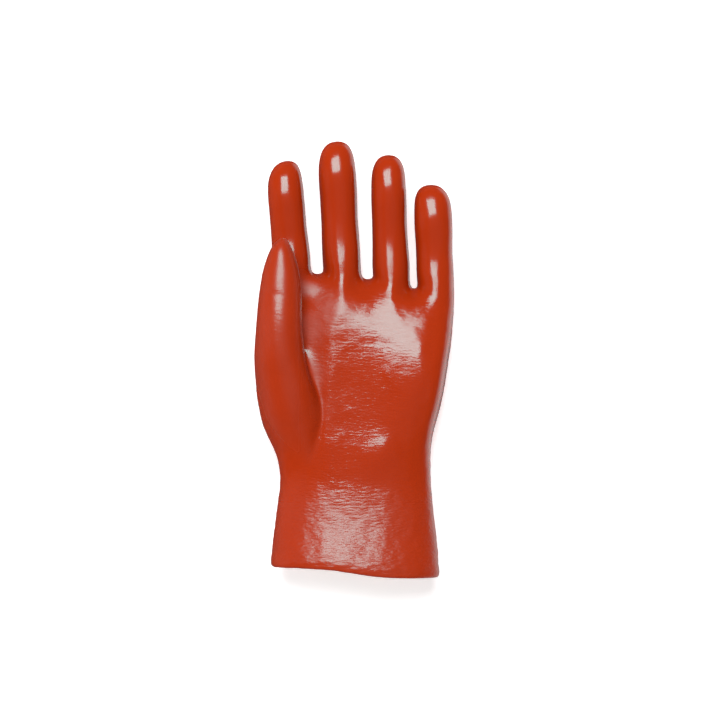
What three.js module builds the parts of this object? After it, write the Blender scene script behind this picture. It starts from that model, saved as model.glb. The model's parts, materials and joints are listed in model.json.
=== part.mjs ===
// A dipped PVC work glove for the left hand. It lies palm up, fingers towards +Y, the table at z = 0.
// The PVC is fused into the knit that it covers, so the glove is one hollow piece with an open cuff.
//
// The skin starts as a cage of rings that climb the cuff and the palm and branch into the thumb and the
// four fingers. Catmull-Clark subdivision rounds the cage off, and the inside is the same skin, one wall
// further in. While it is built, x is measured from the middle of the wrist, y up the hand from the
// wrist, and z up from the table.
import * as THREE from "three";

// Wall of the glove, and the rolled edge round the mouth.
const wall = 2;
const lipThickness = 4.2;
const lipReach = 7;

// Cuff, from the wrist down to the mouth, which lies a little askew, most of all near its middle.
const cuffLength = 58.5;
const mouthWidth = 103.5;
const mouthDepth = 49;
const mouthSlant = 6.8;
const slantSteepness = 5.2;

// Wrist, lifted off the table a little, and palm, from the wrist to the crotch beside the index finger.
const wristWidth = 92;
const wristDepth = 36;
const wristLift = 3.5;
const palmLength = 126;
const palmDepth = 38;
const knuckleShift = 5;

// Fingers: width, length from the crotches, lean from straight up in degrees, and gap to the next one.
const indexWidth = 23.2;
const indexLength = 70;
const indexLean = 4.7;
const indexGap = 8;
const middleWidth = 22.8;
const middleLength = 83.6;
const middleLean = 2.9;
const middleGap = 7.8;
const ringWidth = 22.4;
const ringLength = 79.5;
const ringLean = 1.8;
const ringGap = 5.2;
const littleWidth = 21.8;
const littleLength = 63.8;
const littleLean = 2;

// How far the crotches on both sides of the ring finger sit below the first one, how high the fingers'
// axes lie above the table, and how much further their tips curl up.
const ringDrop = 3.1;
const littleDrop = 8.6;
const fingerHeight = 15.5;
const fingerCurl = 4.5;

// Thumb, which stands in front of the palm: its place beside and above the wrist, its reach from there,
// and the height up the palm where it parts from it.
const thumbWidth = 28.4;
const thumbDepth = 25;
const thumbSide = 46;
const thumbHeight = 45;
const thumbReach = 147.5;
const thumbCrotch = 80;

// Rings of the cuff: how far down it, and the share of the way to the mouth's width and depth.
const CUFF_RINGS = [
  { at: 1.0, flare: 0.98, rise: 0.97 },
  { at: 0.95, flare: 1.0, rise: 1.0 },
  { at: 0.83, flare: 0.84, rise: 0.86 },
  { at: 0.56, flare: 0.55, rise: 0.38 },
  { at: 0.26, flare: 0.19, rise: 0.09 },
];

// Rings of the palm up to the thumb's crotch. at is how far up the palm, left and right are shares of the
// way from the wrist's edges to the knuckles', back and front are heights in shares of the palm's depth,
// and square and flat are the exponents of the section at the back and at the front, 2 for an ellipse.
const PALM_RINGS = [
  { at: 0.0, left: 0.0, right: 0.0, back: 0.09, front: 1.04, square: 2.2, flat: 2.2 },
  { at: 0.12, left: 0.1, right: 0.0, back: 0.05, front: 1.04, square: 2.2, flat: 2.3 },
  { at: 0.23, left: 0.3, right: 0.13, back: 0.01, front: 1.025, square: 2.3, flat: 2.6 },
  { at: 0.35, left: 0.5, right: 0.42, back: -0.02, front: 1.015, square: 2.4, flat: 3.0 },
  { at: 0.48, left: 0.7, right: 0.64, back: -0.03, front: 1.015, square: 2.5, flat: 3.3 },
  { at: 0.61, left: 0.9, right: 0.81, back: -0.03, front: 1.0, square: 2.6, flat: 3.4 },
];

// The thumb's own ring in degrees: from its left over the front to the valley, and back under it.
const thumbLeft = 216;
const thumbRight = 25;
const thumbValley = -25;
const THUMB_UNDER = [-65, -105];

// The thumb's root in the palm's rings: how far it has grown out of the palm, and the angles between which
// it shows, which open by early degrees on its left. Then the valley beside it: its share across the palm,
// and how far it has sunk to the place where the thumb parts.
const ROOT_RINGS = [
  { root: 0.0, early: 21, until: 80, valleyAt: 0.215, valley: 0.0 },
  { root: 0.35, early: 21, until: 75, valleyAt: 0.23, valley: 0.0 },
  { root: 0.7, early: 21, until: 62, valleyAt: 0.26, valley: 0.0 },
  { root: 0.87, early: 18, until: 44, valleyAt: 0.27, valley: 0.0 },
  { root: 0.97, early: 10, until: 40, valleyAt: 0.22, valley: 0.04 },
  { root: 1.0, early: 0, until: thumbRight, valleyAt: 0.18, valley: 1.0 },
];

// Rings from there to the fingers. at is the share of the way to the knuckles, which drop to the right,
// and dip how far the skin between two fingers has sunk, front and back, in shares of the palm's depth.
const KNUCKLE_RINGS = [
  { at: 0.28, left: 1.0, right: 0.91, back: -0.03, front: 0.965, square: 2.6, flat: 3.4, dip: 0.0 },
  { at: 0.52, left: 1.02, right: 0.96, back: -0.01, front: 0.915, square: 2.8, flat: 3.4, dip: 0.005 },
  { at: 0.74, left: 1.0, right: 0.99, back: 0.03, front: 0.845, square: 3.2, flat: 3.4, dip: 0.03 },
];

// The thumb from its root, which is part of the palm's rings, to its tip. at is the share of its reach,
// side and height place its axis, and width and depth are its section, in shares of the thumb's sizes.
const THUMB_ROOT = [
  { at: 0.0, side: 0.55, height: 0.5, width: 1.5, depth: 1.45 },
  { at: 0.1, side: 0.68, height: 0.52, width: 1.5, depth: 1.5 },
  { at: 0.2, side: 0.8, height: 0.58, width: 1.5, depth: 1.62 },
  { at: 0.3, side: 0.87, height: 0.68, width: 1.42, depth: 1.62 },
  { at: 0.41, side: 0.93, height: 0.78, width: 1.28, depth: 1.46 },
  { at: 0.52, side: 1.0, height: 0.92, width: 1.08, depth: 1.22 },
];
const THUMB_RINGS = [
  { at: 0.66, side: 1.007, height: 1.0, width: 0.965, depth: 1.0 },
  { at: 0.74, side: 0.998, height: 0.985, width: 0.915, depth: 0.93 },
  { at: 0.82, side: 0.99, height: 0.975, width: 0.835, depth: 0.83 },
  { at: 0.89, side: 0.987, height: 0.96, width: 0.69, depth: 0.72 },
  { at: 0.945, side: 0.983, height: 0.955, width: 0.485, depth: 0.58 },
  { at: 0.98, side: 0.975, height: 0.945, width: 0.29, depth: 0.37 },
];
const THUMB_TIP = { at: 1.0, side: 0.952, height: 0.935, width: 0.0, depth: 0.0 };

// Rings of a finger: how far up the shaft, or up the tip that follows it, width and depth in shares of
// the finger's width, and the shares of the taper and of the curl. A tip is tipShare of its width long.
const tipShare = 1.1;
const SHAFT_RINGS = [
  { at: 0.2, width: 1.0, depth: 1.1, taper: 0.1, curl: 0.0 },
  { at: 0.58, width: 0.97, depth: 0.93, taper: 0.6, curl: 0.1 },
  { at: 1.0, width: 1.0, depth: 0.87, taper: 1.0, curl: 0.9 },
];
const TIP_RINGS = [
  { at: 0.5, width: 0.95, depth: 0.82, taper: 1.0, curl: 0.75 },
  { at: 0.76, width: 0.8, depth: 0.68, taper: 1.0, curl: 0.55 },
  { at: 0.93, width: 0.51, depth: 0.44, taper: 1.0, curl: 0.4 },
];
const FINGER_TIP = { at: 1.0, width: 0.0, depth: 0.0, taper: 1.0, curl: 0.3 };

// The fingers from the index to the little one. drop is how low the crotch beyond each one sits, taper
// the tip's width, and skew how far its peak stands to the side, in shares of the finger's width.
const FINGERS = [
  {
    width: indexWidth,
    length: indexLength,
    lean: indexLean,
    gap: indexGap,
    drop: 0,
    taper: 0.93,
    skew: 0.1,
  },
  {
    width: middleWidth,
    length: middleLength,
    lean: middleLean,
    gap: middleGap,
    drop: ringDrop,
    taper: 0.98,
    skew: 0.03,
  },
  {
    width: ringWidth,
    length: ringLength,
    lean: ringLean,
    gap: ringGap,
    drop: littleDrop,
    taper: 0.93,
    skew: 0.02,
  },
  {
    width: littleWidth,
    length: littleLength,
    lean: littleLean,
    gap: 0,
    drop: littleDrop,
    taper: 1.04,
    skew: -0.06,
  },
];

// Raised and sunken places of the palm's front: where they lie, how far they spread, and how much they
// rise, in shares of the knuckles' width, the palm's length and the palm's depth.
const PADS = [
  { name: "outer heel", x: 0.42, y: 0.47, wide: 0.22, long: 0.25, rise: 0.14 },
  { name: "wrist heel", x: 0.18, y: 0.13, wide: 0.13, long: 0.09, rise: 0.05 },
  { name: "hollow", x: -0.04, y: 0.5, wide: 0.2, long: 0.2, rise: -0.015 },
  { name: "under the middle finger", x: -0.07, y: 0.82, wide: 0.13, long: 0.13, rise: 0.04 },
  { name: "under the thumb", x: -0.4, y: 0.78, wide: 0.19, long: 0.2, rise: -0.14 },
];

// A finger's corners in shares of its half width and half depth, its depth at the base in shares of its
// width, and the corners there in shares of that half depth. The webs slope down from the crotch to front
// and back. Rounding draws the skin between two fingers down and apart, so its points stand a little above
// the crotch and a little way into the fingers.
const corner = 0.74;
const baseDepth = 1.2;
const baseCorner = 0.74;
const webSlope = 3;
const webInset = 0.1;
const webRise = 1.3;

// Where the points of the thumb's root stand across a section that it hasn't grown out of yet.
const ROOT_SHARES = [0.0, 0.02, 0.055, 0.1, 0.155];

// Rounds of correction that make the rounded skin pass through the points of the cage, but for the loose
// ones in the crotches, which only draw it down.
const roundsOfFit = 8;

const radians = THREE.MathUtils.degToRad;
const mix = THREE.MathUtils.lerp;

// What follows from the sizes: each finger's middle and the line of its crotches.
const knuckleWidth = FINGERS.reduce((sum, finger) => sum + finger.width + finger.gap, 0);
const knuckleLeft = knuckleShift - knuckleWidth / 2;
const knuckleRight = knuckleShift + knuckleWidth / 2;
let edge = knuckleLeft;
let crotch = palmLength;
for (const finger of FINGERS) {
  finger.x = edge + finger.width / 2;
  finger.crotches = [crotch, palmLength - finger.drop];
  finger.base = (crotch + palmLength - finger.drop) / 2;
  crotch = palmLength - finger.drop;
  edge += finger.width + finger.gap;
}

// The columns of the palm: the share across it of each finger's left corner, middle and right corner, and
// how much of the dip beside a gap each takes.
const COLUMNS = FINGERS.flatMap((finger, i) =>
  [-1, 0, 1].map((side) => ({
    share: (finger.x + (side * corner * finger.width) / 2 - knuckleLeft) / knuckleWidth,
    dip: side && FINGERS[i + side] ? 1 : 0,
  })),
);

// The cage: its points, and the four-sided faces between them.
const cage = { points: [], faces: [], loose: new Set() };
const put = (x, y, z) => cage.points.push(new THREE.Vector3(x, y, z)) - 1;

// Joins two rings that have as many points as each other.
function bridge(lower, upper) {
  lower.forEach((point, i) => {
    const next = (i + 1) % lower.length;
    cage.faces.push([point, lower[next], upper[next], upper[i]]);
  });
}

// Closes a ring with faces that meet in a tip.
function close(ring, tip) {
  for (let i = 0; i < ring.length; i += 2) {
    cage.faces.push([ring[i], ring[i + 1], ring[(i + 2) % ring.length], tip]);
  }
}

// How far the pads lift the palm's front at a place.
function padRise(x, y) {
  return PADS.reduce((sum, pad) => {
    const across = (x / knuckleWidth - pad.x) / pad.wide;
    const along = (y / palmLength - pad.y) / pad.long;
    return sum + pad.rise * palmDepth * Math.exp(-(across ** 2) - along ** 2);
  }, 0);
}

// The mouth and the rings near it hang lower on the right than on the left.
const askew = (x) => (-mouthSlant / 2) * Math.tanh((slantSteepness * x) / mouthWidth);

// A ring across cuff or palm: the left edge, columns over the front, the right edge, and the back.
function sectionRing(section, frontColumns) {
  const middle = (section.back + section.front) / 2;
  const half = (section.front - section.back) / 2;
  const place = ({ share, dip }, side) => {
    const x = mix(section.left, section.right, share);
    const y = section.heightAt(x);
    const exponent = side > 0 ? section.flat : section.square;
    const bulge = (1 - Math.abs(2 * share - 1) ** exponent) ** (1 / exponent);
    const pad = side > 0 ? padRise(x, y) : 0;
    return put(x, y, middle + side * (half * bulge - dip * section.dip) + pad);
  };
  return [
    place({ share: 0, dip: 0 }, 0),
    ...frontColumns.map((column) => place(column, 1)),
    place({ share: 1, dip: 0 }, 0),
    ...COLUMNS.toReversed().map((column) => place(column, -1)),
  ];
}

// The line of the knuckles, which drops towards the little finger.
function knuckleLine(x) {
  const next = FINGERS.findIndex((finger) => finger.x >= x);
  if (next <= 0) return (next ? FINGERS.at(-1) : FINGERS[0]).base;
  const [left, right] = [FINGERS[next - 1], FINGERS[next]];
  return mix(left.base, right.base, (x - left.x) / (right.x - left.x));
}

// The height of the wall's edges at the mouth, above which the rim closes them.
const rimRound = lipThickness / 3;
const mouthLine = (x) => askew(x) + rimRound - cuffLength;

const cuffSection = ({ at, flare, rise }) => ({
  heightAt: (x) => at * mouthLine(x),
  left: -mix(wristWidth, mouthWidth, flare) / 2,
  right: mix(wristWidth, mouthWidth, flare) / 2,
  back: mix(wristLift, 0, rise),
  front: mix(wristLift + wristDepth, mouthDepth, rise),
  square: PALM_RINGS[0].square,
  flat: PALM_RINGS[0].flat,
  dip: 0,
});

const palmSection = ({ left, right, back, front, square, flat, dip = 0 }, heightAt) => ({
  heightAt,
  left: mix(-wristWidth / 2, knuckleLeft, left),
  right: mix(wristWidth / 2, knuckleRight, right),
  back: back * palmDepth,
  front: front * palmDepth,
  square,
  flat,
  dip: dip * palmDepth,
});

// A table's row for a place between two of its rows.
function rowAt(table, at) {
  const next = Math.max(1, table.findIndex((row) => row.at >= at));
  const [low, high] = [table[next - 1], table[next]];
  const share = (at - low.at) / (high.at - low.at);
  return Object.fromEntries(Object.keys(low).map((key) => [key, mix(low[key], high[key], share)]));
}

// The place on the thumb's skin at an angle round its axis.
function thumbPlace(row, degrees) {
  const angle = radians(degrees);
  return new THREE.Vector3(
    -thumbSide * row.side + (thumbWidth / 2) * row.width * Math.cos(angle),
    thumbReach * row.at,
    thumbHeight * row.height + (thumbDepth / 2) * row.depth * Math.sin(angle),
  );
}

// The angles of the thumb's ring over the front, from its left down to its right.
const overThumb = (from, until) => ROOT_SHARES.map((_, i) => mix(from, until, i / (ROOT_SHARES.length - 1)));

// The cuff, and the palm up to the thumb's crotch. The thumb's root grows out of the palm's rings.
const THUMB_PATH = [...THUMB_ROOT, ...THUMB_RINGS];
const rootColumns = ({ valleyAt }) => [
  ...[...ROOT_SHARES.slice(1), valleyAt].map((share) => ({ share, dip: 0 })),
  ...COLUMNS.slice(3),
];
let below;
for (const row of CUFF_RINGS) {
  const ring = sectionRing(cuffSection(row), rootColumns(ROOT_RINGS[0]));
  if (below) bridge(below, ring);
  below = ring;
}
PALM_RINGS.forEach((row, i) => {
  const { root, early, until, valley } = ROOT_RINGS[i];
  const y = row.at * palmLength;
  const ring = sectionRing(palmSection(row, () => y), rootColumns(ROOT_RINGS[i]));
  const thumbRow = rowAt(THUMB_PATH, y / thumbReach);
  overThumb(thumbLeft - early, until).forEach((degrees, place) => {
    cage.points[ring[place]].lerp(thumbPlace(thumbRow, degrees), root);
  });
  cage.points[ring[ROOT_SHARES.length]].lerp(thumbPlace(thumbRow, thumbValley), valley);
  bridge(below, ring);
  below = ring;
});

// The ring parts in two at the thumb's crotch, which runs under the thumb to the valley.
const crotchRow = rowAt(THUMB_PATH, thumbCrotch / thumbReach);
const underThumb = THUMB_UNDER.map((degrees) => cage.points.push(thumbPlace(crotchRow, degrees)) - 1);
underThumb.forEach((id) => cage.loose.add(id));
let thumbRing = [...below.slice(0, ROOT_SHARES.length + 1), ...underThumb];
for (const row of THUMB_RINGS) {
  const angles = [...overThumb(thumbLeft, thumbRight), thumbValley, ...THUMB_UNDER];
  const ring = angles.map((degrees) => cage.points.push(thumbPlace(row, degrees)) - 1);
  bridge(thumbRing, ring);
  thumbRing = ring;
}
close(thumbRing, cage.points.push(thumbPlace(THUMB_TIP, 0)) - 1);

// The palm above the thumb, up to the knuckles.
const parting = PALM_RINGS.at(-1).at * palmLength;
below = [below[0], ...underThumb.toReversed(), ...below.slice(ROOT_SHARES.length)];
for (const row of KNUCKLE_RINGS) {
  const ring = sectionRing(palmSection(row, (x) => mix(parting, knuckleLine(x), row.at)), COLUMNS);
  bridge(below, ring);
  below = ring;
}

// A place on a finger, a distance up its axis, with side and up in shares of its half section.
function fingerPlace(finger, along, row, side, up, shift = 0) {
  const lean = radians(finger.lean);
  const across = (side * row.width * finger.width * mix(1, finger.taper, row.taper)) / 2 + shift;
  return put(
    finger.x - along * Math.sin(lean) + across * Math.cos(lean),
    finger.base + along * Math.cos(lean) + across * Math.sin(lean),
    fingerHeight + row.curl * fingerCurl + (up * row.depth * finger.width) / 2,
  );
}

// The bases of the fingers, whose corners are lower than their middles, and the webs between them.
for (const finger of FINGERS) {
  const [left, right] = finger.crotches.map((height) => height - webSlope);
  const cornerReach = (corner * finger.width) / 2;
  const half = (baseDepth * finger.width) / 2;
  const basePlaces = (up) => [
    put(finger.x - cornerReach, left, fingerHeight + up * baseCorner * half),
    put(finger.x, finger.base - webSlope / 2, fingerHeight + up * half),
    put(finger.x + cornerReach, right, fingerHeight + up * baseCorner * half),
  ];
  finger.front = basePlaces(1);
  finger.back = basePlaces(-1).reverse();
}
FINGERS[0].left = put(knuckleLeft, FINGERS[0].base, fingerHeight);
FINGERS.at(-1).right = put(knuckleRight, FINGERS.at(-1).base, fingerHeight);
FINGERS.slice(1).forEach((finger, i) => {
  const before = FINGERS[i];
  const inset = webInset * before.gap;
  const height = finger.crotches[0] + webRise;
  before.right = put(before.x + before.width / 2 + inset, height, fingerHeight);
  finger.left = put(finger.x - finger.width / 2 - inset, height, fingerHeight);
  cage.loose.add(before.right).add(finger.left);
});
bridge(below, [
  FINGERS[0].left,
  ...FINGERS.flatMap((finger) => finger.front),
  FINGERS.at(-1).right,
  ...FINGERS.toReversed().flatMap((finger) => finger.back),
]);
FINGERS.slice(1).forEach((finger, i) => {
  const before = FINGERS[i];
  cage.faces.push([before.front[2], finger.front[0], finger.left, before.right]);
  cage.faces.push([before.right, finger.left, finger.back[2], before.back[0]]);
});

// The fingers.
const AROUND = [[-1, 0], [-corner, corner], [0, 1], [corner, corner]];
AROUND.push(...AROUND.map(([side, up]) => [-side, -up]));
for (const finger of FINGERS) {
  const tip = tipShare * finger.width;
  const shaft = finger.length - tip;
  let ring = [finger.left, ...finger.front, finger.right, ...finger.back];
  const climb = (along, row, shift) => {
    const upper = AROUND.map(([side, up]) => fingerPlace(finger, along, row, side, up, shift));
    bridge(ring, upper);
    ring = upper;
  };
  SHAFT_RINGS.forEach((row) => climb(row.at * shaft, row, 0));
  TIP_RINGS.forEach((row) => climb(shaft + row.at * tip, row, finger.skew * finger.width * row.at ** 3));
  close(ring, fingerPlace(finger, finger.length, FINGER_TIP, 0, 0, finger.skew * finger.width));
}

// One round of Catmull-Clark subdivision. The points of the coarse mesh come first in the fine one, then
// the middles of its faces. Each new face starts at an old point, with the middle across from it.
function subdivide({ points, faces }) {
  const zero = () => new THREE.Vector3();
  const middles = faces.map((face) =>
    face.reduce((sum, id) => sum.add(points[id]), zero()).divideScalar(face.length),
  );
  const keyOf = (a, b) => Math.min(a, b) * points.length + Math.max(a, b);
  const edges = new Map();
  const around = points.map(() => ({ middles: zero(), halfways: zero(), faces: 0, rims: [] }));
  faces.forEach((face, f) => {
    face.forEach((from, i) => {
      const to = face[(i + 1) % face.length];
      if (!edges.has(keyOf(from, to))) edges.set(keyOf(from, to), { ends: [from, to], sides: [] });
      edges.get(keyOf(from, to)).sides.push(middles[f]);
      around[from].middles.add(middles[f]);
      around[from].faces += 1;
    });
  });
  const fine = [...points.map(zero), ...middles];
  for (const side of edges.values()) {
    const [from, to] = side.ends;
    const halfway = points[from].clone().lerp(points[to], 0.5);
    for (const end of side.ends) {
      around[end].halfways.add(halfway);
      if (side.sides.length === 1) around[end].rims.push(halfway);
    }
    const across = side.sides.length === 2 ? side.sides[0].clone().lerp(side.sides[1], 0.5) : halfway;
    side.id = fine.push(halfway.clone().lerp(across, 0.5)) - 1;
  }
  points.forEach((point, i) => {
    const { faces: count, rims, middles: nearMiddles, halfways } = around[i];
    if (rims.length) {
      fine[i].addVectors(rims[0], rims[1]).multiplyScalar(0.25).addScaledVector(point, 0.5);
    } else {
      fine[i].addScaledVector(nearMiddles, 1 / count ** 2).addScaledVector(halfways, 2 / count ** 2);
      fine[i].addScaledVector(point, (count - 3) / count);
    }
  });
  const edgeId = (a, b) => edges.get(keyOf(a, b)).id;
  const quads = faces.flatMap((face, f) =>
    face.map((point, i) => {
      const next = face[(i + 1) % face.length];
      return [point, edgeId(point, next), points.length + f, edgeId(face.at(i - 1), point)];
    }),
  );
  return { points: fine, faces: quads };
}

// Moves the cage until the rounded skin passes through the points that it was drawn with.
const drawn = cage.points.map((point) => point.clone());
for (let round = 0; round < roundsOfFit; round += 1) {
  const rounded = subdivide(subdivide(cage)).points;
  drawn.forEach((point, i) => {
    if (!cage.loose.has(i)) cage.points[i].add(point).sub(rounded[i]);
  });
}

// The outside, with its back flattened where it rests on the table.
const outer = subdivide(cage);
outer.points.forEach((point) => point.setZ(Math.max(point.z, 0)));

// Each four-sided face is parted from its first corner, so that all cuts meet in every second point.
function geometryOf({ points, faces }) {
  const geometry = new THREE.BufferGeometry();
  geometry.setFromPoints(points);
  geometry.setIndex(faces.flatMap(([a, b, c, d]) => [a, b, c, a, c, d]));
  geometry.computeVertexNormals();
  return geometry;
}

// The wall's thickness at a place, which grows towards the mouth.
function thicknessAt(point) {
  const fromMouth = point.y - mouthLine(point.x);
  return mix(lipThickness, wall, THREE.MathUtils.smoothstep(fromMouth, 0, lipReach));
}

// The inside lies one wall under the outside, and its faces look the other way.
const normals = geometryOf(outer).getAttribute("normal");
const inside = outer.points.map((point, i) => {
  const outward = new THREE.Vector3().fromBufferAttribute(normals, i);
  return point.clone().addScaledVector(outward, -thicknessAt(point));
});
const count = outer.points.length;
const skin = {
  points: [...outer.points, ...inside],
  faces: [...outer.faces, ...outer.faces.map(([a, b, c, d]) => [a, d, c, b].map((id) => id + count))],
};

// The rounded rim joins both round the mouth.
const directed = new Set(outer.faces.flatMap((face) => face.map((id, i) => `${id} ${face[(i + 1) % 4]}`)));
const mouthEdges = [...directed]
  .map((pair) => pair.split(" ").map(Number))
  .filter(([from, to]) => !directed.has(`${to} ${from}`));
const rimOf = new Map();
for (const [from] of mouthEdges) {
  const rim = skin.points[from].clone().lerp(skin.points[from + count], 0.5);
  rim.y -= rimRound;
  rimOf.set(from, skin.points.push(rim) - 1);
}
for (const [from, to] of mouthEdges) {
  const sides = [
    [to, from, rimOf.get(from), rimOf.get(to)],
    [rimOf.get(to), rimOf.get(from), from + count, to + count],
  ];
  if (from < cage.points.length) sides[0].push(sides[0].shift());
  else sides[1].push(sides[1].shift());
  skin.faces.push(...sides);
}

const redCoat = new THREE.MeshStandardMaterial({ color: 0xab3009, roughness: 0.15, metalness: 0 });
const glove = new THREE.Mesh(geometryOf(skin), redCoat);
glove.name = "coated_glove";

// The origin is under the middle of the glove, on the table.
const box = new THREE.Box3().setFromObject(glove);
const middle = box.getCenter(new THREE.Vector3());
glove.position.set(-middle.x, -middle.y, -box.min.z);
const model = new THREE.Group();
model.add(glove);

export default model;
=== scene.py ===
# %% [markdown]
# # A red PVC coated work glove
#
# A work glove of this kind is a knitted cotton glove that was pulled over a hand-shaped former and dipped
# in liquid PVC. The heat of an oven turns the liquid into one thick, rubbery, glossy skin. This lesson
# dresses the finished CAD shell of such a glove: its shape is made finer, the marks that the knit leaves in
# the coat are raised on it, and each side gets the material that it is made of.

import json
import math

import bpy
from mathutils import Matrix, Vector, noise

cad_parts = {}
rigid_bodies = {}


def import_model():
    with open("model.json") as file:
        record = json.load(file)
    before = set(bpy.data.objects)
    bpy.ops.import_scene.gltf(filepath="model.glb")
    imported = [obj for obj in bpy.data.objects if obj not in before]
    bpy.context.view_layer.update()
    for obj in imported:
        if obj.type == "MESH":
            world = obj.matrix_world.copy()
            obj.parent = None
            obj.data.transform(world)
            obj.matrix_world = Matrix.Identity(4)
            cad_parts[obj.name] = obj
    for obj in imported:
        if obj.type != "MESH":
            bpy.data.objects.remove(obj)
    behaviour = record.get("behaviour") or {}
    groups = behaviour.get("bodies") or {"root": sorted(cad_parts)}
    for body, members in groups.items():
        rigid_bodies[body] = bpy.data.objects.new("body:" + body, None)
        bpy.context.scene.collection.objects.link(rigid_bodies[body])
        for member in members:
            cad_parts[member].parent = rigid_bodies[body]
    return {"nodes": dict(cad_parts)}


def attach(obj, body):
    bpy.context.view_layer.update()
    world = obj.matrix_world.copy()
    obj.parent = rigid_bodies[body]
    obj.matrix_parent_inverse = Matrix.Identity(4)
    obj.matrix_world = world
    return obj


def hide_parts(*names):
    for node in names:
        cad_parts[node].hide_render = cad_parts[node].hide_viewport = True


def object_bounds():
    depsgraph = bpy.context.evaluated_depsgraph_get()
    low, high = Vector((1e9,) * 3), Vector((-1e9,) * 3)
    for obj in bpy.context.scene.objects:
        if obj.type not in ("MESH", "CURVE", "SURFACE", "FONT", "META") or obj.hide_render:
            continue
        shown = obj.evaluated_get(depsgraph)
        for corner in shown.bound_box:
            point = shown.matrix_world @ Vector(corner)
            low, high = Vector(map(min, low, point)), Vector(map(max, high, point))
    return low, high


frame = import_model()
shell = frame["nodes"]["coated_glove"]
cad_low, cad_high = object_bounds()
MM = 0.001
print("the shell measures", [round(side / MM, 1) for side in cad_high - cad_low], "mm")

# %% [markdown]
# The shell comes as loose triangles, and the glossy coat needs a smooth net of four-sided faces: every
# bump in the net would show in its reflections. The net could be modelled again from nothing, or remeshed,
# but the shell was made from four-sided faces in the first place. Each was cut in two between two points
# that many edges meet in, and none of the cuts ends in a point with just four edges. So the copy is merged,
# its cuts are found by that rule, and they are dissolved.

# %% Copy the shell and join its triangles to four-sided faces
FACE_CORNERS = 4
MERGE_WITHIN = 0.001 * MM


def work_on(piece, mode="OBJECT"):
    """Makes one piece the only selected one, in the mode that is needed."""
    if bpy.context.object and bpy.context.object.mode != "OBJECT":
        bpy.ops.object.mode_set(mode="OBJECT")
    bpy.ops.object.select_all(action="DESELECT")
    piece.select_set(True)
    bpy.context.view_layer.objects.active = piece
    bpy.ops.object.mode_set(mode=mode)


glove = bpy.data.objects.new("pvc_glove", shell.data.copy())
bpy.context.scene.collection.objects.link(glove)
glove.data.materials.clear()
work_on(glove, "EDIT")
bpy.ops.mesh.select_mode(type="EDGE")
bpy.ops.mesh.select_all(action="SELECT")
bpy.ops.mesh.remove_doubles(threshold=MERGE_WITHIN)
bpy.ops.mesh.customdata_custom_splitnormals_clear()
bpy.ops.mesh.select_all(action="DESELECT")
work_on(glove)
edges_at = [0] * len(glove.data.vertices)
for edge in glove.data.edges:
    for point in edge.vertices:
        edges_at[point] += 1
for edge in glove.data.edges:
    edge.select = all(edges_at[point] != FACE_CORNERS for point in edge.vertices)
work_on(glove, "EDIT")
bpy.ops.mesh.dissolve_edges(use_verts=False)
work_on(glove)
four_sided = sum(len(face.vertices) == FACE_CORNERS for face in glove.data.polygons)
print(four_sided, "of", len(glove.data.polygons), "faces have four sides")

# %% [markdown]
# The coat lies outside and the knit that carries it lies inside, and both are one wall, so the glove stays
# one closed piece with two materials. To tell them apart, the ring of edges round the middle of the rim,
# whose points face straight at the arm, is marked as a seam. A click on one face of the palm then spreads
# over all that is joined to it, up to the seam. The wet PVC also crept a little way round the rim, so the
# choice grows by two rows of faces.

# %% Find the coat and leave the rest to the knit
MOUTH_ZONE = 0.03
FACING_THE_ARM = 0.85
ROWS_ROUND_RIM = 2
LIP = 7 * MM

near_mouth = cad_low.y + MOUTH_ZONE
rim = {
    point.index
    for point in glove.data.vertices
    if point.co.y < near_mouth and point.normal.y < -FACING_THE_ARM
}
for edge in glove.data.edges:
    edge.use_seam = all(point in rim for point in edge.vertices)
print(len(rim), "points and", sum(edge.use_seam for edge in glove.data.edges), "edges run round the rim")

for name in ("glossy dipped PVC", "knitted cotton backing"):
    glove.data.materials.append(bpy.data.materials.new(name))
for face in glove.data.polygons:
    face.material_index = 1
    face.select = False
top = max(glove.data.polygons, key=lambda face: face.center.z)
top.select = True
work_on(glove, "EDIT")
bpy.ops.mesh.select_mode(type="FACE")
bpy.ops.mesh.select_linked(delimit={"SEAM"})
for _ in range(ROWS_ROUND_RIM):
    bpy.ops.mesh.select_more()
glove.active_material_index = 0
bpy.ops.object.material_slot_assign()
work_on(glove)
coated = sum(face.material_index == 0 for face in glove.data.polygons)
print(coated, "faces are coat and", len(glove.data.polygons) - coated, "are knit")

# %% [markdown]
# The knit under the coat was sewn from a palm half and a back half, and its seam runs up both sides of the
# hand, round every finger and round the thumb. The PVC flows over it and leaves a low, soft ridge. It could
# be drawn as curves on the shell, but it lies just where the surface turns from front to back, which is
# where its normal is level. So each point gets a weight from its normal, in a vertex group, and a Displace
# modifier lifts the surface by that weight. Close to the table the weight falls to nothing, so that no
# raised mark sinks through the table.

# %% Make the net finer and raise the seam of the knit under the coat
SEAM_HEIGHT = 0.45 * MM
SEAM_WIDTH = 1.3 * MM
SEAM_FULL_FROM_MOUTH = 2.5 * LIP
SIDE_ROUNDING = 11 * MM
OFF_THE_TABLE = 4 * MM
LEAST_WEIGHT = 0.01


def weigh(piece, name, weight_of):
    """Gives every point a weight in a new vertex group, and less the closer it lies to the table."""
    group = piece.vertex_groups.new(name=name)
    for point in piece.data.vertices:
        weight = weight_of(point.co, point.normal) if point.index in coat_points else 0
        weight *= ramp(point.co.z, 0, OFF_THE_TABLE)
        if weight > LEAST_WEIGHT:
            group.add([point.index], min(weight, 1), "REPLACE")


def finish_with(piece, kind, **settings):
    """Adds a modifier with its settings and applies it."""
    work_on(piece)
    modifier = piece.modifiers.new(kind.title(), kind)
    for setting, value in settings.items():
        setattr(modifier, setting, value)
    bpy.ops.object.modifier_apply(modifier=modifier.name)


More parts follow.
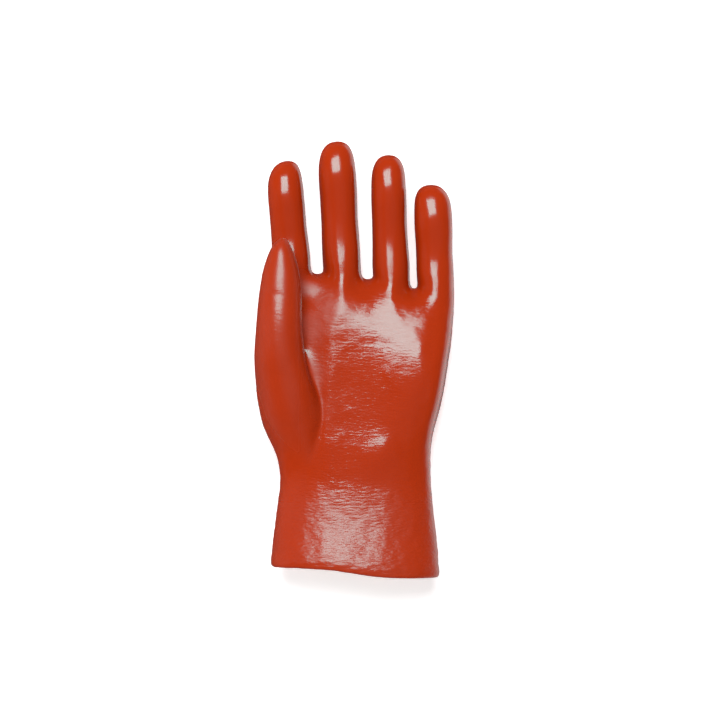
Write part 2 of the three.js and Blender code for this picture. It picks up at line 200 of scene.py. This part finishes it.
def bell(distance, width):
    """One at no distance, and falling off like a bell curve."""
    return math.exp(-((distance / width) ** 2))


def ramp(value, start, end):
    """Rises from 0 at the start to 1 at the end, softly."""
    share = min(max((value - start) / (end - start), 0), 1)
    return share * share * (3 - 2 * share)


finish_with(glove, "SUBSURF", levels=2, render_levels=2, boundary_smooth="PRESERVE_CORNERS")
coat_points = {
    point for face in glove.data.polygons if face.material_index == 0 for point in face.vertices
}


def seam_weight(place, normal):
    from_mouth = place.y - cad_low.y
    return bell(normal.z * SIDE_ROUNDING, SEAM_WIDTH) * ramp(from_mouth, LIP, SEAM_FULL_FROM_MOUTH)


weigh(glove, "knit seam", seam_weight)
finish_with(glove, "DISPLACE", strength=SEAM_HEIGHT, mid_level=0, vertex_group="knit seam")
print("the net has", len(glove.data.polygons), "faces")

# %% [markdown]
# The coat isn't the same everywhere in this scene. Along the seam of the thumb a pale pink line is painted
# on: a painted highlight where the edges of the thumb's tip catch the light. The coat is a little duller on
# the cuff and on the thumb, where highlights have soft edges, and dull in the crease beside the thumb, where
# hardly a highlight lies. A painted texture could say so only if the glove were unwrapped, so each amount is
# stored with the points as an attribute, and the material reads it.

# %% Mark the painted highlight on the thumb's seam and where the coat is dull
SEAM_HIGHLIGHT_WIDTH = 0.8 * MM
THUMB_UNDERSIDE = 34 * MM
THUMB_UPPER_SIDE = 38 * MM
THUMB_JOINT = 30 * MM
THUMB_NAIL = 60 * MM
CUFF_ENDS = -95 * MM
PALM_STARTS = -65 * MM
PALM_SIDE_OF_THUMB = -26 * MM
OUTER_SIDE_OF_THUMB = -36 * MM
DULLNESS = 0.3
DULL_SPOTS = {
    "the web between thumb and index finger": (Vector((-29.5, 47.5, 30)) * MM, 8 * MM, 1.0),
    "the crease beside the middle of the thumb": (Vector((-30, 20, 34)) * MM, 10 * MM, 1.0),
    "the crease beside the ball of the thumb": (Vector((-29, -10, 34)) * MM, 10 * MM, 1.0),
    "the end of the crease": (Vector((-27, -30, 34)) * MM, 9 * MM, 1.0),
    "the palm under the index finger": (Vector((-15, 30, 34)) * MM, 14 * MM, 0.35),
}


def mark(piece, name, amount_of):
    """Stores an amount with every point of the coat, for the material to read."""
    amounts = piece.data.attributes.new(name, "FLOAT", "POINT")
    for point in piece.data.vertices:
        if point.index in coat_points:
            amounts.data[point.index].value = amount_of(point.co, point.normal)


# a painted highlight: a pale line along the edges of the thumb's tip, where the seam catches the light
def painted_seam_highlight(place, normal):
    on_thumb = ramp(place.z, THUMB_UNDERSIDE, THUMB_UPPER_SIDE) * ramp(place.y, THUMB_JOINT, THUMB_NAIL)
    return on_thumb * bell(normal.z * SIDE_ROUNDING, SEAM_HIGHLIGHT_WIDTH)


def dullness(place, normal):
    in_spots = [amount * bell((place - spot).length, reach) for spot, reach, amount in DULL_SPOTS.values()]
    on_cuff = DULLNESS * (1 - ramp(place.y, CUFF_ENDS, PALM_STARTS))
    outward = ramp(place.x, PALM_SIDE_OF_THUMB, OUTER_SIDE_OF_THUMB)
    on_thumb = DULLNESS * outward * ramp(place.z, THUMB_UNDERSIDE, THUMB_UPPER_SIDE)
    return max(*in_spots, on_cuff, on_thumb)


mark(glove, "painted seam highlight", painted_seam_highlight)
mark(glove, "dull coat", dullness)
print("two amounts are stored with", len(coat_points), "points")

# %% [markdown]
# The former was smooth, but the soft coat isn't: it sags and crinkles a little as it comes off, so a
# reflection on it is never a clean shape. Wide, low waves are put on with a noise texture in the Displace
# modifier. On the cuff, where the coat lies loosest, and less on the palm, short crinkles run across the
# hand. They are a noise that is squeezed along the hand, as a weight. The fold across the thumb, where it
# bends, is pressed in with a weight of its own.

# %% Add the low waves of the soft coat, its crinkles and the fold in the thumb
WAVE_LENGTH = 16 * MM
WAVE_HEIGHT = 0.5 * MM
CRINKLE_SPACING = 3.0 * MM
CRINKLE_LENGTH = 5.5 * MM
CRINKLE_HEIGHT = 0.55 * MM
LESS_ON_PALM = 0.55
LESS_ON_TIPS = 0.35
LOOSE_UNTIL = 30 * MM
TIGHT_FROM = 75 * MM
THUMB_FOLD = Vector((-49, 40, 57)) * MM
FOLD_DEPTH = 0.45 * MM
FOLD_WIDTH = 1.6 * MM
FOLD_REACH = 6 * MM
FOLD_SLANT = 0.2

waves = bpy.data.textures.new("low waves", "CLOUDS")
waves.noise_scale = WAVE_LENGTH
waves.noise_depth = 1
weigh(glove, "coat", lambda place, normal: ramp(place.y - cad_low.y, 0, LIP))
finish_with(
    glove,
    "DISPLACE",
    texture=waves,
    texture_coords="LOCAL",
    strength=WAVE_HEIGHT,
    mid_level=0.5,
    vertex_group="coat",
)


def looseness(place):
    """How loose the coat lies: wholly on the cuff, less on the palm, and hardly on the fingertips."""
    on_palm = LESS_ON_PALM * ramp(place.y, CUFF_ENDS, PALM_STARTS)
    on_tips = LESS_ON_TIPS * ramp(place.y, LOOSE_UNTIL, TIGHT_FROM)
    return 1 - on_palm - on_tips


def crinkle_weight(place, normal):
    squeezed = Vector((place.x / CRINKLE_LENGTH, place.y / CRINKLE_SPACING, place.z / CRINKLE_LENGTH))
    return (0.5 + 0.5 * noise.noise(squeezed)) * looseness(place) * ramp(place.y - cad_low.y, 0, LIP)


weigh(glove, "crinkles", crinkle_weight)
finish_with(glove, "DISPLACE", strength=CRINKLE_HEIGHT, mid_level=0, vertex_group="crinkles")


def fold_weight(place, normal):
    away = place - THUMB_FOLD
    across = away.y + FOLD_SLANT * away.x
    return bell(across, FOLD_WIDTH) * bell(away.x, FOLD_REACH) * bell(away.z, FOLD_REACH)


weigh(glove, "thumb fold", fold_weight)
finish_with(glove, "DISPLACE", strength=-FOLD_DEPTH, mid_level=0, vertex_group="thumb fold")
work_on(glove)
bpy.ops.object.shade_smooth()
print("the coated side has", len(coat_points), "points")

# %% [markdown]
# Both materials start from what they are. Colours are picked as sRGB hex values, as in a paint program, and
# a shader needs them linear, so one function turns them. Another one adds a node and links it, and that is
# all that the materials below are made with.

# %% Helpers for the materials


def linear(hex_colour):
    """An sRGB hex colour as the linear red, green, blue and alpha that a shader works with."""
    channels = [int(hex_colour[place : place + 2], 16) / 255 for place in (1, 3, 5)]
    return [c / 12.92 if c <= 0.04045 else ((c + 0.055) / 1.055) ** 2.4 for c in channels] + [1]


def add_node(owner, kind, settings=None, links=None):
    """Adds a node to a material or world, sets it, and links (node, output) pairs to its inputs."""
    node = owner.node_tree.nodes.new(kind)
    for name, value in (settings or {}).items():
        if isinstance(name, str) and hasattr(node, name):
            setattr(node, name, value)
        else:
            node.inputs[name].default_value = value
    for name, (source, output) in (links or {}).items():
        owner.node_tree.links.new(source.outputs[output], node.inputs[name])
    return node


def fresh(name):
    """A material by name with only its output node left."""
    material = bpy.data.materials[name]
    material.use_nodes = True
    material.node_tree.nodes.clear()
    return material


print("half grey is", round(linear("#808080")[0], 3), "as light")

# %% [markdown]
# Plasticised PVC is a glossy, slightly soft plastic with an IOR of about 1.53. Its pigment is even, so the
# colour hardly varies, and what the eye sees is its gloss. The loops of the knit show through it as short,
# fine wrinkles that run across the hand, deepest on the cuff, weaker on the palm and hardly there on the
# fingertips. A noise stretched across the hand makes the bump, and the place along the hand sets its depth.
# The dull places that were marked above get more roughness. Along the thumb's seam the red is mixed to pale
# pink as a painted highlight.

# %% Glossy dipped PVC
PVC_RED = "#ab3009"
DEEPER_RED = "#a62d08"
# the pale pink of the painted highlight on the thumb's seam
SEAM_HIGHLIGHT_PINK = "#ecb0a0"
# a highlight on red looks pinker than it is in the picture, so less red is mirrored
MIRRORED_TINT = "#a6ffff"
PVC_IOR = 1.53
GLOSSY_ROUGHNESS = 0.16
DULL_ROUGHNESS = 0.6
WRINKLE_SPACING = 1.3 * MM
WRINKLE_LENGTH = 4.5 * MM
WRINKLE_SLANT = 0.15
WRINKLES_ON_TIPS = 0.12
PALM_WRINKLE_DEPTH = 0.12 * MM
CUFF_WRINKLE_DEPTH = 0.34 * MM
PATCHES_PER_METRE = 60.0

pvc = fresh("glossy dipped PVC")
place = add_node(pvc, "ShaderNodeTexCoord")
across = add_node(
    pvc,
    "ShaderNodeMapping",
    {
        "Scale": (1 / WRINKLE_LENGTH, 1 / WRINKLE_SPACING, 1 / WRINKLE_SPACING),
        "Rotation": (0, 0, WRINKLE_SLANT),
    },
    {"Vector": (place, "Object")},
)
wrinkles = add_node(
    pvc,
    "ShaderNodeTexNoise",
    {"Scale": 1.0, "Detail": 2.0, "Roughness": 0.5, "Distortion": 0.3},
    {"Vector": (across, "Vector")},
)
split = add_node(pvc, "ShaderNodeSeparateXYZ", links={"Vector": (place, "Object")})
loose = add_node(
    pvc,
    "ShaderNodeMapRange",
    {
        "From Min": TIGHT_FROM,
        "From Max": LOOSE_UNTIL,
        "To Min": WRINKLES_ON_TIPS,
        "interpolation_type": "SMOOTHSTEP",
    },
    {"Value": (split, "Y")},
)
depth = add_node(
    pvc,
    "ShaderNodeMapRange",
    {
        "From Min": PALM_STARTS,
        "From Max": CUFF_ENDS,
        "To Min": PALM_WRINKLE_DEPTH,
        "To Max": CUFF_WRINKLE_DEPTH,
        "interpolation_type": "SMOOTHSTEP",
    },
    {"Value": (split, "Y")},
)
bump = add_node(
    pvc,
    "ShaderNodeBump",
    links={"Height": (wrinkles, "Fac"), "Strength": (loose, "Result"), "Distance": (depth, "Result")},
)
patches = add_node(
    pvc, "ShaderNodeTexNoise", {"Scale": PATCHES_PER_METRE, "Detail": 2.0}, {"Vector": (place, "Object")}
)
tone = add_node(
    pvc,
    "ShaderNodeMix",
    {"data_type": "RGBA", 6: linear(DEEPER_RED), 7: linear(PVC_RED)},
    {0: (patches, "Fac")},
)
# the painted highlight on the thumb's seam turns the red to pale pink
seam_highlight = add_node(pvc, "ShaderNodeAttribute", {"attribute_name": "painted seam highlight"})
skin = add_node(
    pvc,
    "ShaderNodeMix",
    {"data_type": "RGBA", 7: linear(SEAM_HIGHLIGHT_PINK)},
    {0: (seam_highlight, "Fac"), 6: (tone, 2)},
)
dull = add_node(pvc, "ShaderNodeAttribute", {"attribute_name": "dull coat"})
roughness = add_node(
    pvc,
    "ShaderNodeMapRange",
    {"To Min": GLOSSY_ROUGHNESS, "To Max": DULL_ROUGHNESS},
    {"Value": (dull, "Fac")},
)
coat = add_node(
    pvc,
    "ShaderNodeBsdfPrincipled",
    {"IOR": PVC_IOR, "Specular Tint": linear(MIRRORED_TINT)},
    {"Base Color": (skin, 2), "Normal": (bump, "Normal"), "Roughness": (roughness, "Result")},
)
add_node(pvc, "ShaderNodeOutputMaterial", links={"Surface": (coat, "BSDF")})
print("wrinkles lie", WRINKLE_SPACING / MM, "mm apart")

# %% [markdown]
# The backing is a plain interlock knit of undyed cotton, which the wet PVC has half soaked through. It is
# matt, pale and warm, and its ribs run along the hand, about 1.2 mm apart, as in such gloves.

# %% Knitted cotton backing
RIB_SPACING = 1.2 * MM
# the wave texture repeats about 3.2 times in one unit of its scale
RIBS_PER_METRE = 1 / RIB_SPACING / 3.2
YARN_SHADE = "#b3744f"
YARN_LIGHT = "#e2cdb4"
LOOP_HEIGHT = 0.3 * MM

knit = fresh("knitted cotton backing")
place = add_node(knit, "ShaderNodeTexCoord")
ribs = add_node(
    knit,
    "ShaderNodeTexWave",
    {"Scale": RIBS_PER_METRE, "Distortion": 0.6, "Detail": 1.0, "Detail Scale": 2.0},
    {"Vector": (place, "Object")},
)
courses = add_node(
    knit,
    "ShaderNodeTexWave",
    {"bands_direction": "Y", "Scale": RIBS_PER_METRE, "Distortion": 0.6},
    {"Vector": (place, "Object")},
)
loops = add_node(
    knit,
    "ShaderNodeMath",
    {"operation": "MULTIPLY"},
    {0: (ribs, "Fac"), 1: (courses, "Fac")},
)
yarn = add_node(
    knit,
    "ShaderNodeMix",
    {"data_type": "RGBA", 6: linear(YARN_SHADE), 7: linear(YARN_LIGHT)},
    {0: (loops, 0)},
)
relief = add_node(knit, "ShaderNodeBump", {"Distance": LOOP_HEIGHT, "Strength": 0.8}, {"Height": (loops, 0)})
cloth = add_node(
    knit,
    "ShaderNodeBsdfPrincipled",
    {"Roughness": 0.9, "Sheen Weight": 0.3},
    {"Base Color": (yarn, 2), "Normal": (relief, "Normal")},
)
add_node(knit, "ShaderNodeOutputMaterial", links={"Surface": (cloth, "BSDF")})
print("ribs lie", RIB_SPACING / MM, "mm apart")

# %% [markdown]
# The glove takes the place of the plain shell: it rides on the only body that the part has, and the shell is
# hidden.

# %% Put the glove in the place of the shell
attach(glove, "root")
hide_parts("coated_glove")
low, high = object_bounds()
print("dressed, it measures", [round(side / MM, 1) for side in high - low], "mm")

# %% [markdown]
# A glossy thing is lit by what it mirrors, so the lights are placed for their reflections. A large soft box
# stands above the fingertips and a little to the left. It lies in the slopes that face the fingertips: the
# tips, the finger bases, the heel and the flare of the cuff. Three fills only brighten the red and the knit
# in the mouth, and the coat doesn't mirror them. The paper lies on a light table, so hardly a shadow is
# seen. The room is brighter low on the right, which draws the narrow light strips down the right side of
# each finger.

# %% Floor, lights and camera
TABLE_LIGHT = 0.45
ROOM_LIGHT = 0.06
STRIP_LIGHT = 1.1
STRIP_STARTS, STRIP_FULL = 0.25, 0.5
STRIP_TOP, STRIP_MIDDLE = -0.1, -0.35
PICTURE_SIDE = 0.4438
PICTURE_MIDDLE = Vector((0.0034, -0.0003, 0))
CAMERA_HEIGHT = 2.2
PALM_HEIGHT = 0.028
FLOOR_SIDE = 8
LIT_POINT = Vector((0, 0, 0.02))
SENSOR = 36

work_on(glove)
bpy.ops.mesh.primitive_plane_add(size=FLOOR_SIDE)
floor = bpy.context.object
floor.name = "floor"
floor.data.materials.append(bpy.data.materials.new("matt white paper"))
paper = fresh("matt white paper")
sheet = add_node(
    paper,
    "ShaderNodeBsdfPrincipled",
    {
        "Base Color": linear("#fafafa"),
        "Roughness": 0.9,
        "Emission Color": linear("#ffffff"),
        "Emission Strength": TABLE_LIGHT,
    },
)
add_node(paper, "ShaderNodeOutputMaterial", links={"Surface": (sheet, "BSDF")})
floor.visible_glossy = False


def soft_box(name, place, width, height, power, mirrored=True):
    """A rectangular light that faces the middle of the glove, in metres and watts."""
    light = bpy.data.lights.new(name, "AREA")
    light.shape = "RECTANGLE"
    light.size = width
    light.size_y = height
    light.energy = power
    lamp = bpy.data.objects.new(name, light)
    lamp.location = place
    lamp.rotation_euler = (LIT_POINT - lamp.location).to_track_quat("-Z", "Y").to_euler()
    lamp.visible_glossy = mirrored
    bpy.context.scene.collection.objects.link(lamp)


soft_box("key soft box", Vector((-0.29, 1.60, 2.90)), 1.77, 2.0, 118)
soft_box("fill from above", Vector((0.6, -0.9, 3.0)), 3.0, 3.0, 26, mirrored=False)
soft_box("fill from the left", Vector((-2.6, 0.1, 1.3)), 1.6, 3.0, 26, mirrored=False)
soft_box("fill into the mouth", Vector((0.0, -2.4, 0.5)), 1.6, 0.8, 16, mirrored=False)

world = bpy.data.worlds.new("dim room")
world.use_nodes = True
world.node_tree.nodes.clear()
direction = add_node(world, "ShaderNodeTexCoord")
axes = add_node(world, "ShaderNodeSeparateXYZ", links={"Vector": (direction, "Generated")})
to_the_right = add_node(
    world,
    "ShaderNodeMapRange",
    {"From Min": STRIP_STARTS, "From Max": STRIP_FULL},
    {"Value": (axes, "X")},
)
below = add_node(
    world,
    "ShaderNodeMapRange",
    {"From Min": STRIP_TOP, "From Max": STRIP_MIDDLE},
    {"Value": (axes, "Z")},
)
lower_right = add_node(
    world,
    "ShaderNodeMath",
    {"operation": "MULTIPLY"},
    {0: (to_the_right, "Result"), 1: (below, "Result")},
)
strength = add_node(
    world,
    "ShaderNodeMapRange",
    {"To Min": ROOM_LIGHT, "To Max": STRIP_LIGHT},
    {"Value": (lower_right, 0)},
)
room = add_node(
    world,
    "ShaderNodeBackground",
    {"Color": linear("#ffffff")},
    {"Strength": (strength, "Result")},
)
add_node(world, "ShaderNodeOutputWorld", links={"Surface": (room, "Background")})
bpy.context.scene.world = world
bpy.context.scene.view_settings.view_transform = "Standard"

camera = bpy.data.objects.new("camera", bpy.data.cameras.new("camera"))
camera.location = PICTURE_MIDDLE + Vector((0, 0, CAMERA_HEIGHT))
camera.data.sensor_width = SENSOR
camera.data.lens = SENSOR * (CAMERA_HEIGHT - PALM_HEIGHT) / PICTURE_SIDE
bpy.context.scene.collection.objects.link(camera)
bpy.context.scene.camera = camera
print("the lens is", round(camera.data.lens), "mm")
